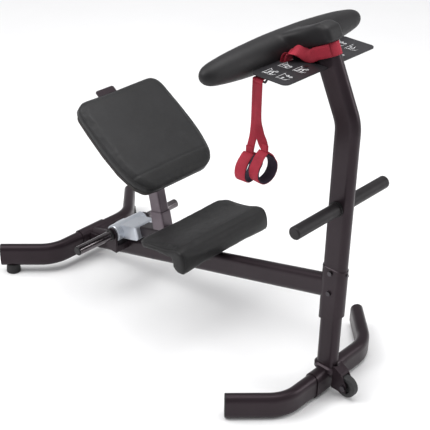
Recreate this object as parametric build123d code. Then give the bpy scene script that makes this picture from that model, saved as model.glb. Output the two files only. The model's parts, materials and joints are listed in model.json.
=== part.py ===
from build123d import *
import math
import os

# Seated stretch trainer. Millimetres, +Z up, +X towards the column (the user faces +X),
# Y across the machine, origin on the floor under the middle of the overall box.

# ---- overall layout -------------------------------------------------------------------
COL_X = 569.32
REAR_X = COL_X - 1105.0  # straight middle of the rear base
PIVOT_X = COL_X - 902.0  # seat pivot axis
PIVOT_Z = 197.0
FLOOR_PAD = 1.5          # rubber under the front base

# ---- flat-oval tubes: height, width, wall ----------------------------------------------
BASE_H, BASE_W, WALL = 83.0, 42.0, 2.5
FRONT_Z = FLOOR_PAD + BASE_H / 2
REAR_Z = 69.0
BEND_R = 120.0           # centre-line bend radius of both bases
FRONT_HALF = 323.0       # centre of the tube's cut end from the middle plane
FRONT_BACK = 126.0       # how far the front base's ends sweep back
REAR_HALF = 311.0
REAR_BACK = 132.0
CAP_T = 4.0

# ---- column and spine ------------------------------------------------------------------
LOW_H, LOW_W = 71.0, 36.0
UP_H, UP_W = 79.0, 39.0
SLEEVE_H, SLEEVE_W = 84.0, 44.0
SLEEVE_Z0, SLEEVE_Z1 = 246.0, 446.0
SLEEVE_CUT = 20.0     # slope of the sleeve's lower edge, degrees
SLEEVE_STEP = 46.0    # solid ring at the sleeve's foot, under the upper column
LEAN_Z = 903.0           # where the column's axis turns back
LEAN = 25.8              # degrees from vertical
LEAN_R = 110.0
LEAN_LEN = 262.0         # axis length above the turn
SPINE_H, SPINE_W = 76.0, 40.0
SPINE_ANG = 15.65        # degrees, falling to the rear
SPINE_Z = 377.0          # height of the spine's axis at the column axis

# ---- carriage --------------------------------------------------------------------------
BARREL_R, BARREL_L = 30.0, 140.0
SHAFT_R = 12.0
EAR_IN, EAR_T = 72.5, 8.0
ARM_H, ARM_W = 40.0, 50.0
GRIP_R, GRIP_END = 16.0, 230.0
TILT = 16.0              # degrees of backward tilt
SEAT_HALF = 200.0
PAD_T, PAD_BOARD = 44.0, 12.0

# ---- column top ------------------------------------------------------------------------
PEG_Z, PEG_END, PEG_R = 647.0, 208.0, 19.5
ROLL_X = COL_X - 234.0
ROLL_Z = 1062.0
ROLL_HALF = 331.0
PLATE_Z = 1050.0
SLOT_Y = -78.0            # near end of the straps' notch in the placard
WEB_W, WEB_T = 36.0, 2.4

os.makedirs("parts", exist_ok=True)

CA = math.cos(math.radians(SPINE_ANG))
SA = math.sin(math.radians(SPINE_ANG))


def save(name, shape):
    export_step(shape, f"parts/{name}.step")


def joined(items):
    """One shape that holds each item as a separate solid."""
    solids = []
    for item in items:
        solids += list(item.solids())
    return Compound(solids)


def rod(a, b, r):
    """Round bar from point a to point b."""
    a = Vector(*a)
    b = Vector(*b)
    axis = Plane(origin=a, z_dir=b - a)
    return extrude(axis * Circle(r), amount=(b - a).length)


def slot_ring(h, w, t):
    return SlotOverall(h, w) - SlotOverall(h - 2 * t, w - 2 * t)


def slot_bar(a, b, h, w, up, t=0.0):
    """Straight flat-oval tube (or bar, t = 0) from a to b, long side of its section along up."""
    a = Vector(*a)
    b = Vector(*b)
    d = b - a
    plane = Plane(origin=a, x_dir=up, z_dir=d)
    face = plane * (slot_ring(h, w, t) if t else SlotOverall(h, w))
    return extrude(face, amount=d.length)


def box_bar(a, b, h, w, up, t=0.0, r=4.0):
    """Straight rounded rectangular tube or bar from a to b."""
    a = Vector(*a)
    b = Vector(*b)
    d = b - a
    plane = Plane(origin=a, x_dir=up, z_dir=d)
    sketch = RectangleRounded(h, w, r)
    if t:
        sketch = sketch - RectangleRounded(h - 2 * t, w - 2 * t, r - t)
    return extrude(plane * sketch, amount=d.length)


def block(x0, x1, y0, y1, z0, z1):
    return Pos((x0 + x1) / 2, (y0 + y1) / 2, (z0 + z1) / 2) * Box(x1 - x0, y1 - y0, z1 - z0)


def profile_xz(points, half):
    """Prism along Y, from -half to +half, of a polygon given in X and Z."""
    face = make_face(Polyline(*[(x, 0, z) for x, z in points], close=True))
    return extrude(face, amount=half, dir=(0, 1, 0), both=True)


def hex_head(at, direction, across, height):
    plane = Plane(origin=at, z_dir=direction)
    return extrude(plane * RegularPolygon(across / 2, 6, major_radius=False), amount=height)


def spine_point(s, up=0.0):
    """Point on the line through the pivot parallel to the spine: s forward, up normal to it."""
    return (PIVOT_X + s * CA - up * SA, 0.0, PIVOT_Z + s * SA + up * CA)


def spine_z(x):
    return SPINE_Z - (COL_X - x) * SA / CA


def lean_point(s, fwd=0.0, y=0.0):
    """Point at distance s up the leaning part of the column, fwd ahead of its axis."""
    a = math.radians(LEAN)
    x = COL_X - s * math.sin(a) + fwd * math.cos(a)
    z = LEAN_Z + s * math.cos(a) + fwd * math.sin(a)
    return (x, y, z)


LEAN_UP = (-math.sin(math.radians(LEAN)), 0.0, math.cos(math.radians(LEAN)))
LEAN_FWD = (math.cos(math.radians(LEAN)), 0.0, math.sin(math.radians(LEAN)))
SP_FWD = (CA, 0.0, SA)
SP_UP = (-SA, 0.0, CA)


# ---- bases -----------------------------------------------------------------------------
def base_path(x, half, back, z):
    """Centre line: straight across the middle, both ends turned 45 degrees to the rear."""
    knee = half - back
    pts = [(x - back, -half, z), (x, -knee, z), (x, knee, z), (x - back, half, z)]
    return FilletPolyline(*pts, radius=BEND_R)


def base_tube(path, t):
    plane = Plane(origin=path @ 0, x_dir=(0, 0, 1), z_dir=path % 0)
    outer = sweep(plane * SlotOverall(BASE_H, BASE_W), path=path)
    if not t:
        return outer
    inner = sweep(plane * SlotOverall(BASE_H - 2 * t, BASE_W - 2 * t), path=path)
    return outer - inner


def base_caps(path):
    caps = []
    for at, sign in ((0, -1), (1, 1)):
        plane = Plane(origin=path @ at, x_dir=(0, 0, 1), z_dir=(path % at) * sign)
        cap = extrude(plane * SlotOverall(BASE_H, BASE_W), amount=CAP_T)
        cap = fillet(cap.faces().sort_by(Axis(plane.origin, plane.z_dir))[-1].edges(), 2.5)
        plug = plane * SlotOverall(BASE_H - 2 * WALL, BASE_W - 2 * WALL)
        caps.append(cap + extrude(plug, amount=-14))
    return caps


front_path = base_path(COL_X, FRONT_HALF, FRONT_BACK, FRONT_Z)
rear_path = base_path(REAR_X, REAR_HALF, REAR_BACK, REAR_Z)
front_solid = base_tube(front_path, 0)
rear_solid = base_tube(rear_path, 0)


def front_base():
    tube = base_tube(front_path, WALL)
    save("front_base_tube", tube)
    sleeve_in = BASE_H + 0.0
    plane = Plane(origin=(COL_X, -72, FRONT_Z), x_dir=(0, 0, 1), z_dir=(0, 1, 0))
    ring = SlotOverall(sleeve_in + 7, BASE_W + 7) - SlotOverall(sleeve_in, BASE_W)
    sleeve = extrude(plane * ring, amount=144)
    sleeve -= block(COL_X - 60, COL_X + 60, -80, 80, -10, FRONT_Z - BASE_H / 2 + 0.5)
    sleeve = sleeve - slot_bar((COL_X, 0, FRONT_Z + 18), (COL_X, 0, 120), LOW_H, LOW_W, (1, 0, 0))
    save("front_base_sleeve", sleeve)
    pads = []
    for side in (-1, 1):
        x = COL_X - FRONT_BACK + 46
        y = side * (FRONT_HALF - 46)
        pads.append(Pos(x, y, 0) * Rot(0, 0, -45 * side) * extrude(SlotOverall(16, 11), amount=FLOOR_PAD + 1))
        pads.append(Pos(COL_X, side * 100, 0) * extrude(SlotOverall(16, 11), amount=FLOOR_PAD + 1))
    save("front_base_pads", joined([p - front_solid for p in pads]))


def rear_base():
    tube = base_tube(rear_path, WALL)
    for side in (-1, 1):
        x = REAR_X - REAR_BACK + 26
        y = side * (REAR_HALF - 26)
        tube = tube - rod((x, y, 0), (x, y, REAR_Z), 4)
    save("rear_base_tube", tube)
    plane = Plane(origin=(REAR_X, -58, REAR_Z), x_dir=(0, 0, 1), z_dir=(0, 1, 0))
    ring = SlotOverall(BASE_H + 8, BASE_W + 8) - SlotOverall(BASE_H, BASE_W)
    saddle = extrude(plane * ring, amount=116)
    cheek = []
    for side in (-1, 1):
        y = side * (SPINE_W / 2 + 3)
        pts = [(REAR_X + 22, REAR_Z - 20), (REAR_X + 120, spine_z(REAR_X + 120) - 16),
               (REAR_X + 120, spine_z(REAR_X + 120) + 16), (REAR_X + 22, REAR_Z + 34)]
        cheek.append(Pos(0, y, 0) * profile_xz(pts, 3.0))
    saddle = saddle + cheek[0] + cheek[1]
    saddle = saddle - rear_solid
    saddle = saddle - slot_bar((COL_X, 0, SPINE_Z), (REAR_X, 0, spine_z(REAR_X)), SPINE_H, SPINE_W, SP_UP)
    save("rear_base_saddle", saddle)
    feet = []
    screws = []
    for side in (-1, 1):
        x = REAR_X - REAR_BACK + 26
        y = side * (REAR_HALF - 26)
        z1 = REAR_Z - BASE_H / 2 + 6
        foot = Pos(x, y, 0) * Cone(26, 23, z1, align=(Align.CENTER, Align.CENTER, Align.MIN))
        foot = fillet(foot.edges().sort_by(Axis.Z)[0], 2.5)
        foot = foot - rear_solid
        screw = rod((x, y, 8), (x, y, REAR_Z - BASE_H / 2 + 14), 4)
        head = rod((x, y, 4), (x, y, 8), 7.5)
        foot = foot - rod((x, y, 3.0), (x, y, 8), 7.5) - rod((x, y, 2), (x, y, 60), 4)
        foot = foot.solids().sort_by(SortBy.VOLUME)[-1]
        feet.append(foot)
        screws.append(screw + head)
    save("rear_feet", joined(feet))
    return screws


def end_caps():
    save("base_end_caps", joined(base_caps(front_path) + base_caps(rear_path)))


# ---- column ----------------------------------------------------------------------------
def column_path():
    pts = [(COL_X, 0, SLEEVE_Z0 + SLEEVE_STEP), (COL_X, 0, LEAN_Z), lean_point(LEAN_LEN)]
    return FilletPolyline(*pts, radius=LEAN_R)


def upper_column_outer():
    path = column_path()
    plane = Plane(origin=path @ 0, x_dir=(1, 0, 0), z_dir=path % 0)
    return sweep(plane * SlotOverall(UP_H, UP_W), path=path)


def column():
    low = slot_bar((COL_X, 0, FRONT_Z + 20), (COL_X, 0, SLEEVE_Z0 + SLEEVE_STEP - 0.5), LOW_H, LOW_W, (1, 0, 0), 3.0)
    low = low - front_solid
    low = low.solids().sort_by(SortBy.VOLUME)[-1]
    save("lower_column", low)
    collar = extrude(Pos(COL_X, 0, FRONT_Z + BASE_H / 2 - 10) * SlotOverall(LOW_H + 16, LOW_W + 14), amount=18)
    collar = chamfer(collar.faces().sort_by(Axis.Z)[-1].edges(), 5)
    collar = collar - slot_bar((COL_X, 0, 30), (COL_X, 0, 140), LOW_H, LOW_W, (1, 0, 0))
    plane = Plane(origin=(COL_X, -90, FRONT_Z), x_dir=(0, 0, 1), z_dir=(0, 1, 0))
    collar = collar - extrude(plane * SlotOverall(BASE_H + 7, BASE_W + 7), amount=180)
    save("column_foot_collar", joined([collar]))

    path = column_path()
    plane = Plane(origin=path @ 0, x_dir=(1, 0, 0), z_dir=path % 0)
    outer = sweep(plane * SlotOverall(UP_H, UP_W), path=path)
    inner = sweep(plane * SlotOverall(UP_H - 6, UP_W - 6), path=path)
    upper = outer - inner

    ring = SlotOverall(SLEEVE_H, SLEEVE_W) - SlotOverall(UP_H, UP_W)
    sleeve = extrude(Pos(COL_X, 0, SLEEVE_Z0) * ring, amount=SLEEVE_Z1 - SLEEVE_Z0)
    top = sleeve.faces().sort_by(Axis.Z)[-1].outer_wire().edges()
    sleeve = chamfer(top, 2)
    floor = extrude(Pos(COL_X, 0, SLEEVE_Z0) * (SlotOverall(UP_H, UP_W) - SlotOverall(LOW_H, LOW_W)), amount=SLEEVE_STEP - 0.5)
    sleeve = sleeve + floor
    slope = math.tan(math.radians(SLEEVE_CUT))
    back_z = SLEEVE_Z0 + 8
    under = profile_xz([(COL_X - 62, 150), (COL_X + 58, 150), (COL_X + 58, back_z + 100 * slope), (COL_X - 62, back_z - 20 * slope)], 60)
    sleeve = sleeve - under

    bolts = []
    heads = []
    for z in (360.0, 430.0):
        shank = rod((COL_X - 2, -SLEEVE_W / 2, z), (COL_X - 2, SLEEVE_W / 2, z), 4)
        head = rod((COL_X - 2, -SLEEVE_W / 2 - 5, z), (COL_X - 2, -SLEEVE_W / 2, z), 7.5)
        nut = hex_head((COL_X - 2, SLEEVE_W / 2, z), (0, 1, 0), 13, 6.5)
        bolts.append(shank)
        heads.append(shank + head + nut)
    screw = rod((COL_X + UP_H / 2 - 3, 0, 432), (COL_X + SLEEVE_H / 2 + 3.5, 0, 432), 5)
    bolts.append(screw)
    heads.append(screw)
    for b in bolts:
        upper = upper - b
        sleeve = sleeve - b
    return upper, sleeve, heads


def spine(sleeve):
    end = (REAR_X, 0, spine_z(REAR_X))
    start = (COL_X, 0, SPINE_Z)
    tube = slot_bar(start, end, SPINE_H, SPINE_W, SP_UP, WALL)
    cut = extrude(Pos(COL_X, 0, 100) * SlotOverall(SLEEVE_H, SLEEVE_W), amount=600)
    tube = tube - cut - rear_solid
    tube = tube.solids().sort_by(SortBy.VOLUME)[-1]
    return tube


SPINE_SOLID = slot_bar((COL_X, 0, SPINE_Z), (REAR_X, 0, spine_z(REAR_X)), SPINE_H, SPINE_W, SP_UP)


# ---- transport wheel -------------------------------------------------------------------
WHEEL_X, WHEEL_Z, WHEEL_R, WHEEL_HALF = COL_X + 79.0, 46.0, 36.0, 12.5


def wheel():
    tyre = rod((WHEEL_X, -WHEEL_HALF, WHEEL_Z), (WHEEL_X, WHEEL_HALF, WHEEL_Z), WHEEL_R)
    tyre = fillet(tyre.edges(), 5)
    tyre -= rod((WHEEL_X, -20, WHEEL_Z), (WHEEL_X, 20, WHEEL_Z), 25)
    hub = rod((WHEEL_X, -WHEEL_HALF, WHEEL_Z), (WHEEL_X, WHEEL_HALF, WHEEL_Z), 25)
    for side in (-1, 1):
        dish = rod((WHEEL_X, side * WHEEL_HALF, WHEEL_Z), (WHEEL_X, side * (WHEEL_HALF - 6), WHEEL_Z), 21)
        boss = rod((WHEEL_X, side * WHEEL_HALF, WHEEL_Z), (WHEEL_X, side * (WHEEL_HALF - 6), WHEEL_Z), 9)
        hub = hub - (dish - boss)
    hub = hub + rod((WHEEL_X, -WHEEL_HALF - 1, WHEEL_Z), (WHEEL_X, WHEEL_HALF + 1, WHEEL_Z), 9)
    hub = hub - rod((WHEEL_X, -30, WHEEL_Z), (WHEEL_X, 30, WHEEL_Z), 5.05)
    save("wheel_tyre", tyre)
    save("wheel_hub", hub)

    inner = 15.0
    t = 3.5
    x0 = COL_X + 10.0
    top = [(x0, 122), (COL_X + 66, 92), (COL_X + 88, 60), (COL_X + 88, 30), (COL_X + 62, 26), (x0, 26)]
    plates = profile_xz(top, inner + t)
    hollow = profile_xz([(x0 - 5, 118), (COL_X + 66 - 4, 88), (COL_X + 200, 40), (COL_X + 200, 0), (x0 - 5, 0)], inner)
    fork = plates - hollow
    plane = Plane(origin=(COL_X, -90, FRONT_Z), x_dir=(0, 0, 1), z_dir=(0, 1, 0))
    fork = fork - extrude(plane * SlotOverall(BASE_H + 7, BASE_W + 7), amount=180)
    fork = fork - slot_bar((COL_X, 0, 20), (COL_X, 0, 160), LOW_H + 16, LOW_W + 14, (1, 0, 0))
    fork = fork - rod((WHEEL_X, -30, WHEEL_Z), (WHEEL_X, 30, WHEEL_Z), 5.0)
    fork = fork.solids().sort_by(SortBy.VOLUME)[-1]
    save("wheel_fork", fork)
    y1 = inner + t
    axle = rod((WHEEL_X, -y1, WHEEL_Z), (WHEEL_X, y1 + 7, WHEEL_Z), 5.0)
    axle = axle + rod((WHEEL_X, -y1 - 5.5, WHEEL_Z), (WHEEL_X, -y1, WHEEL_Z), 9)
    save("wheel_axle_bolt", axle)
    nut = hex_head((WHEEL_X, y1, WHEEL_Z), (0, 1, 0), 17, 7) - rod((WHEEL_X, 0, WHEEL_Z), (WHEEL_X, 60, WHEEL_Z), 5.0)
    save("wheel_axle_nut", nut)


# ---- pivot -----------------------------------------------------------------------------
def pivot():
    ears = []
    for side in (-1, 1):
        y0 = side * EAR_IN
        y1 = side * (EAR_IN + EAR_T)
        lo = min(y0, y1)
        hi = max(y0, y1)
        web = block(PIVOT_X - 24, PIVOT_X + 24, lo, hi, 132, PIVOT_Z)
        ears.append(web + rod((PIVOT_X, lo, PIVOT_Z), (PIVOT_X, hi, PIVOT_Z), 24))
    bed = block(PIVOT_X - 24, PIVOT_X + 24, -EAR_IN, EAR_IN, 132, 156)
    bore = rod((PIVOT_X, -100, PIVOT_Z), (PIVOT_X, 100, PIVOT_Z), SHAFT_R)
    for ear, side, name in ((ears[0], -1, "near"), (ears[1], 1, "far")):
        half = bed - block(PIVOT_X - 60, PIVOT_X + 60, min(0, -side * 200), max(0, -side * 200), 90, 190)
        bracket = ear + half - SPINE_SOLID - bore
        save(f"pivot_bracket_{name}", joined([bracket]))
    reach = EAR_IN + EAR_T + 40
    shaft = rod((PIVOT_X, -reach, PIVOT_Z), (PIVOT_X, reach, PIVOT_Z), SHAFT_R)
    save("pivot_shaft", shaft)
    y0 = EAR_IN + EAR_T
    collars = []
    grips = []
    caps = []
    for side in (-1, 1):
        ring = rod((PIVOT_X, side * y0, PIVOT_Z), (PIVOT_X, side * (y0 + 10), PIVOT_Z), 20)
        ring = chamfer(ring.edges(), 2)
        collars.append(ring - rod((PIVOT_X, -200, PIVOT_Z), (PIVOT_X, 200, PIVOT_Z), SHAFT_R))
        tube = rod((PIVOT_X, side * (y0 + 10), PIVOT_Z), (PIVOT_X, side * GRIP_END, PIVOT_Z), GRIP_R)
        tube -= rod((PIVOT_X, -reach, PIVOT_Z), (PIVOT_X, reach, PIVOT_Z), SHAFT_R)
        tube -= rod((PIVOT_X, side * (reach + 0.0), PIVOT_Z), (PIVOT_X, side * (GRIP_END + 5), PIVOT_Z), GRIP_R - 2.5)
        grips.append(tube)
        cap = rod((PIVOT_X, side * GRIP_END, PIVOT_Z), (PIVOT_X, side * (GRIP_END + 5), PIVOT_Z), GRIP_R)
        cap = fillet(cap.edges().sort_by(Axis.Y)[-1 if side > 0 else 0], 4)
        plug = rod((PIVOT_X, side * GRIP_END, PIVOT_Z), (PIVOT_X, side * (GRIP_END - 16), PIVOT_Z), GRIP_R - 2.5)
        caps.append(cap + plug)
    save("pivot_collars", joined(collars))
    save("grip_tube_near", joined([grips[0]]))
    save("grip_tube_far", joined([grips[1]]))
    save("grip_end_caps", joined(caps))


def stops():
    gap = 31.5
    base = spine_point(326, -gap)
    top = spine_point(326, -ARM_H / 2 - 0.3)
    front = rod(base, top, 17)
    front = front + rod(spine_point(326, -gap - 6), spine_point(326, -gap + 4), 20)
    front = front - SPINE_SOLID
    front = front.solids().sort_by(SortBy.VOLUME)[-1]
    plane = Plane(origin=spine_point(-52, -gap - 6), x_dir=SP_FWD, z_dir=SP_UP)
    rear = extrude(plane * RectangleRounded(34, 30, 6), amount=10.2)
    rear = rear - SPINE_SOLID
    rear = rear.solids().sort_by(SortBy.VOLUME)[-1]
    save("tilt_stops", joined([front, rear]))


def carriage():
    shaft_hole = rod((PIVOT_X, -100, PIVOT_Z), (PIVOT_X, 100, PIVOT_Z), SHAFT_R + 3)
    barrel = rod((PIVOT_X, -BARREL_L / 2, PIVOT_Z), (PIVOT_X, BARREL_L / 2, PIVOT_Z), BARREL_R)
    barrel = chamfer(barrel.edges(), 1.5)
    lug_half = 46.0
    pts = []
    for s, up in ((0, -25), (0, 25), (96, 25), (96, -25)):
        p = spine_point(s, up)
        pts.append((p[0], p[2]))
    lug = profile_xz(pts, lug_half)
    front_edges = lug.edges().filter_by(lambda e: abs((e @ 0.5 - Vector(*spine_point(96, 0))).dot(Vector(*SP_FWD))) < 1)
    lug = fillet(front_edges, 9)
    heel_dir = math.radians(SPINE_ANG - TILT)
    hx = -math.cos(heel_dir)
    hz = -math.sin(heel_dir)
    heel = []
    for s, up in ((0, -27.0), (66, -27.0), (66, -15.0), (40, 10.0), (0, 20.0)):
        heel.append((PIVOT_X + s * hx - up * math.sin(heel_dir), PIVOT_Z + s * hz + up * math.cos(heel_dir)))
    finger = profile_xz(heel, 15)
    housing = barrel + lug + finger
    housing = housing - shaft_hole
    arm0 = spine_point(60, 0)
    arm1 = spine_point(418, 0)
    arm_solid = box_bar(arm0, arm1, ARM_H, ARM_W, SP_UP, 0, 6)
    housing = housing - arm_solid
    arm = box_bar(arm0, arm1, ARM_H, ARM_W, SP_UP, 3, 6)
    save("pivot_housing", joined([housing]))
    save("seat_arm", arm)
    plane = Plane(origin=arm1, x_dir=SP_UP, z_dir=SP_FWD)
    cap = extrude(plane * RectangleRounded(ARM_H, ARM_W, 6), amount=3)
    cap = cap + extrude(plane * RectangleRounded(ARM_H - 6, ARM_W - 6, 3), amount=-12)
    save("seat_arm_cap", cap)
    bushes = []
    for side in (-1, 1):
        a = side * (BARREL_L / 2 - 32)
        b = side * BARREL_L / 2
        c = side * (BARREL_L / 2 + 2)
        bush = rod((PIVOT_X, a, PIVOT_Z), (PIVOT_X, b, PIVOT_Z), SHAFT_R + 3)
        bush += rod((PIVOT_X, b, PIVOT_Z), (PIVOT_X, c, PIVOT_Z), SHAFT_R + 8)
        bush -= rod((PIVOT_X, -100, PIVOT_Z), (PIVOT_X, 100, PIVOT_Z), SHAFT_R + 0.05)
        bushes.append(bush)
    save("pivot_bushes", joined(bushes))
    return arm_solid


# ---- seat ------------------------------------------------------------------------------
SEAT_REAR = (COL_X - 636.0, 345.0)
SEAT_CREST = (COL_X - 458.0, 381.0)
SEAT_DIR = math.atan2(SEAT_CREST[1] - SEAT_REAR[1], SEAT_CREST[0] - SEAT_REAR[0])


def seat_xz(s, up):
    """Point s forward of the seat's rear edge and up from its top line."""
    x = SEAT_REAR[0] + s * math.cos(SEAT_DIR) - up * math.sin(SEAT_DIR)
    z = SEAT_REAR[1] + s * math.sin(SEAT_DIR) + up * math.cos(SEAT_DIR)
    return (x, z)


def seat(arm_solid):
    edge = 24.0
    pts = [seat_xz(0, -4), seat_xz(60, -6), seat_xz(120, -5), seat_xz(176, 2), seat_xz(200, -5)]
    front_x = COL_X - 424.0
    pts += [(front_x - 2, 362), (front_x, 345), (front_x - 1, 312), (front_x - 12, 299), (front_x - 34, 299)]
    pts += [(front_x - 46, 308), seat_xz(162, -edge - 10), seat_xz(154, -edge), seat_xz(0, -edge), seat_xz(-6, -12)]
    cushion = profile_xz(pts, SEAT_HALF)
    round_front = extrude(Pos(SEAT_REAR[0] + 106, 0, 200) * RectangleRounded(236, 2 * SEAT_HALF, 26), amount=300)
    round_rear = extrude(Pos(SEAT_REAR[0] + 206, 0, 200) * RectangleRounded(436, 2 * SEAT_HALF, 42), amount=300)
    cushion = cushion & round_front & round_rear
    save("seat_cushion", cushion)

    a = seat_xz(8, -edge)
    b = seat_xz(150, -edge)
    c = seat_xz(150, -edge - 10)
    d = seat_xz(8, -edge - 10)
    board = profile_xz([a, b, c, d], 165)
    vertical = board.edges().filter_by(lambda e: abs(e.length - 10) < 0.01)
    board = fillet(vertical, 12)

    e0 = seat_xz(14, -edge - 10)
    e1 = seat_xz(144, -edge - 10)
    s0 = spine_point(0, ARM_H / 2)

    def arm_top(x):
        return s0[2] + (x - s0[0]) * SA / CA

    wedge = profile_xz([e0, e1, (e1[0], arm_top(e1[0])), (e0[0], arm_top(e0[0]))], 45)
    plate = wedge
    bolts = []
    for s in (34, 122):
        for side in (-1, 1):
            ax, az = seat_xz(s, -edge - 1)
            t = (ax, side * 33.0, az)
            up = (-math.sin(SEAT_DIR), 0, math.cos(SEAT_DIR))
            shank = rod(t, (ax - up[0] * 44, side * 33.0, az - up[2] * 44), 4)
            bolts.append((shank, t))
    for shank, t in bolts:
        board = board - shank
        plate = plate - shank
    # the bolt heads bear on the wedge's underside, beside the arm
    heads = []
    for shank, t in bolts:
        x = t[0]
        z = arm_top(x)
        body = shank - profile_xz([(x - 80, arm_top(x - 80)), (x + 80, arm_top(x + 80)), (x + 80, 0), (x - 80, 0)], 200)
        head = extrude(Plane(origin=(x, t[1], z), z_dir=(SA, 0, -CA)) * Circle(7.5), amount=5)
        heads.append(body + head)
    heads = [h - arm_solid for h in heads]
    save("seat_board", board)
    save("seat_wedge_plate", plate)
    return heads


# ---- back pad --------------------------------------------------------------------------
PAD_LOW = (COL_X - 626.0, 508.0)
PAD_HIGH = (COL_X - 935.0, 716.0)
PAD_LEN = math.hypot(PAD_HIGH[0] - PAD_LOW[0], PAD_HIGH[1] - PAD_LOW[1])
PU = ((PAD_HIGH[0] - PAD_LOW[0]) / PAD_LEN, 0.0, (PAD_HIGH[1] - PAD_LOW[1]) / PAD_LEN)
PN = (PU[2], 0.0, -PU[0])


def pad_plane(depth):
    """Plane parallel to the pad's face, depth behind it; its x runs across, its y up the pad."""
    origin = (PAD_LOW[0] - depth * PN[0], 0.0, PAD_LOW[1] - depth * PN[2])
    return Plane(origin=origin, x_dir=(0, 1, 0), z_dir=PN)


def pad_outline(grow):
    """Rounded outline of the pad: narrow at the foot, widest at a third, slightly narrower at the top."""
    side = [(142, 0), (168, 44), (183, 110), (187, 190), (184, 280), (178, PAD_LEN)]
    pts = [(x + grow, y) for x, y in side]
    pts[0] = (pts[0][0], pts[0][1] - grow)
    pts[-1] = (pts[-1][0], pts[-1][1] + grow)
    ring = [Vector(x, y) for x, y in pts] + [Vector(-x, y) for x, y in reversed(pts)]
    face = make_face(Polyline(*ring, close=True))
    ends = face.vertices().filter_by(lambda v: v.Y < 25 or v.Y > 335)
    return fillet(ends, 34)


def back_pad():
    cushion = extrude(pad_plane(0) * pad_outline(0), amount=-PAD_T)
    front_edges = cushion.faces().sort_by(Axis(Vector(0, 0, 0), Vector(*PN)))[-1].edges()
    cushion = chamfer(front_edges, 7)
    save("back_cushion", cushion)
    board = extrude(pad_plane(PAD_T) * pad_outline(-9), amount=-PAD_BOARD)
    back = PAD_T + PAD_BOARD
    plate_t = 4.0
    sketch = Pos(0, 226) * RectangleRounded(78, 380, 8) + Pos(0, 150) * RectangleRounded(150, 120, 10)
    plate = extrude(pad_plane(back) * sketch, amount=-plate_t)
    bolts = []
    for x in (-60, 60):
        for y in (104, 196):
            plane = pad_plane(back + plate_t)
            p = plane.from_local_coords(Vector(x, y, 0))
            head = extrude(Plane(origin=p, z_dir=(-PN[0], 0, -PN[2])) * Circle(8), amount=5)
            shank = extrude(Plane(origin=p, z_dir=PN) * Circle(4), amount=plate_t + PAD_BOARD)
            board = board - shank
            plate = plate - shank
            bolts.append(head + shank)
    save("back_board", board)
    save("back_support_plate", plate)
    return bolts, back + plate_t


def back_bracket(depth):
    lean = math.radians(13.4)
    base = (COL_X - 719.0, 0.0, 250.0)
    d = Vector(-math.sin(lean), 0, math.cos(lean))
    fwd = (math.cos(lean), 0, math.sin(lean))
    foot = Vector(*base) - d * 40
    split = Vector(*base) + d * 84
    top = Vector(*base) + d * 420
    post = box_bar(tuple(foot), tuple(split), 58, 48, fwd, 0, 8)
    s0 = spine_point(0, ARM_H / 2)
    under = profile_xz([(s0[0] - 50, s0[2] - 50 * SA / CA), (s0[0] + 600, s0[2] + 600 * SA / CA), (s0[0] + 600, 0), (s0[0] - 50, 0)], 200)
    socket = post - under
    tube_solid = box_bar(tuple(split - d * 50), tuple(top), 50, 40, fwd, 0, 7)
    socket = socket - tube_solid
    edge = socket.faces().sort_by(Axis(Vector(0, 0, 0), d))[-1].outer_wire().edges()
    socket = chamfer(edge, 2.5)
    tube = box_bar(tuple(split - d * 50), tuple(top), 50, 40, fwd, 2.5, 7)
    plane = pad_plane(depth)
    beyond = extrude(plane * Rectangle(2000, 2000), amount=600)
    tube = tube - beyond
    tube = tube.solids().sort_by(SortBy.VOLUME)[-1]
    save("back_bracket_socket", joined([socket]))
    save("back_bracket_tube", tube)


# ---- pegs ------------------------------------------------------------------------------
def pegs():
    bar = rod((COL_X, -PEG_END + 4, PEG_Z), (COL_X, PEG_END - 4, PEG_Z), 12.5)
    save("peg_bar", bar)
    grips = []
    collars = []
    for side in (-1, 1):
        y0 = side * (UP_W / 2)
        y1 = side * (UP_W / 2 + 7)
        ring = rod((COL_X, y0, PEG_Z), (COL_X, y1, PEG_Z), 23) - bar
        collars.append(ring)
        grip = rod((COL_X, y1, PEG_Z), (COL_X, side * PEG_END, PEG_Z), PEG_R)
        end = grip.edges().sort_by(Axis.Y)[-1 if side > 0 else 0]
        grip = fillet(end, 5)
        grips.append(grip - bar)
    save("peg_collars", joined(collars))
    save("peg_grips", joined(grips))
    return bar


# ---- roll pad, placard -----------------------------------------------------------------
def roll_shape():
    """Spindle along Y: thick in the middle, tapering to rounded ends."""
    half = [(0, 46.0), (80, 45.0), (150, 42.0), (225, 37.0), (285, 29.5), (312, 23.0)]
    crown = Spline(*half, tangents=[(1, 0), (1, -0.32)])
    nose = Spline((312, 23.0), (324, 14.0), (ROLL_HALF, 0), tangents=[(1, -0.32), (0, -1)])
    face = make_face([crown, nose, Line((ROLL_HALF, 0), (0, 0)), Line((0, 0), (0, 46.0))])
    solid = revolve(face, axis=Axis.X)
    solid = solid + mirror(solid, about=Plane.YZ)
    return Pos(ROLL_X, 0, ROLL_Z) * Rot(0, 0, 90) * solid


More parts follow.
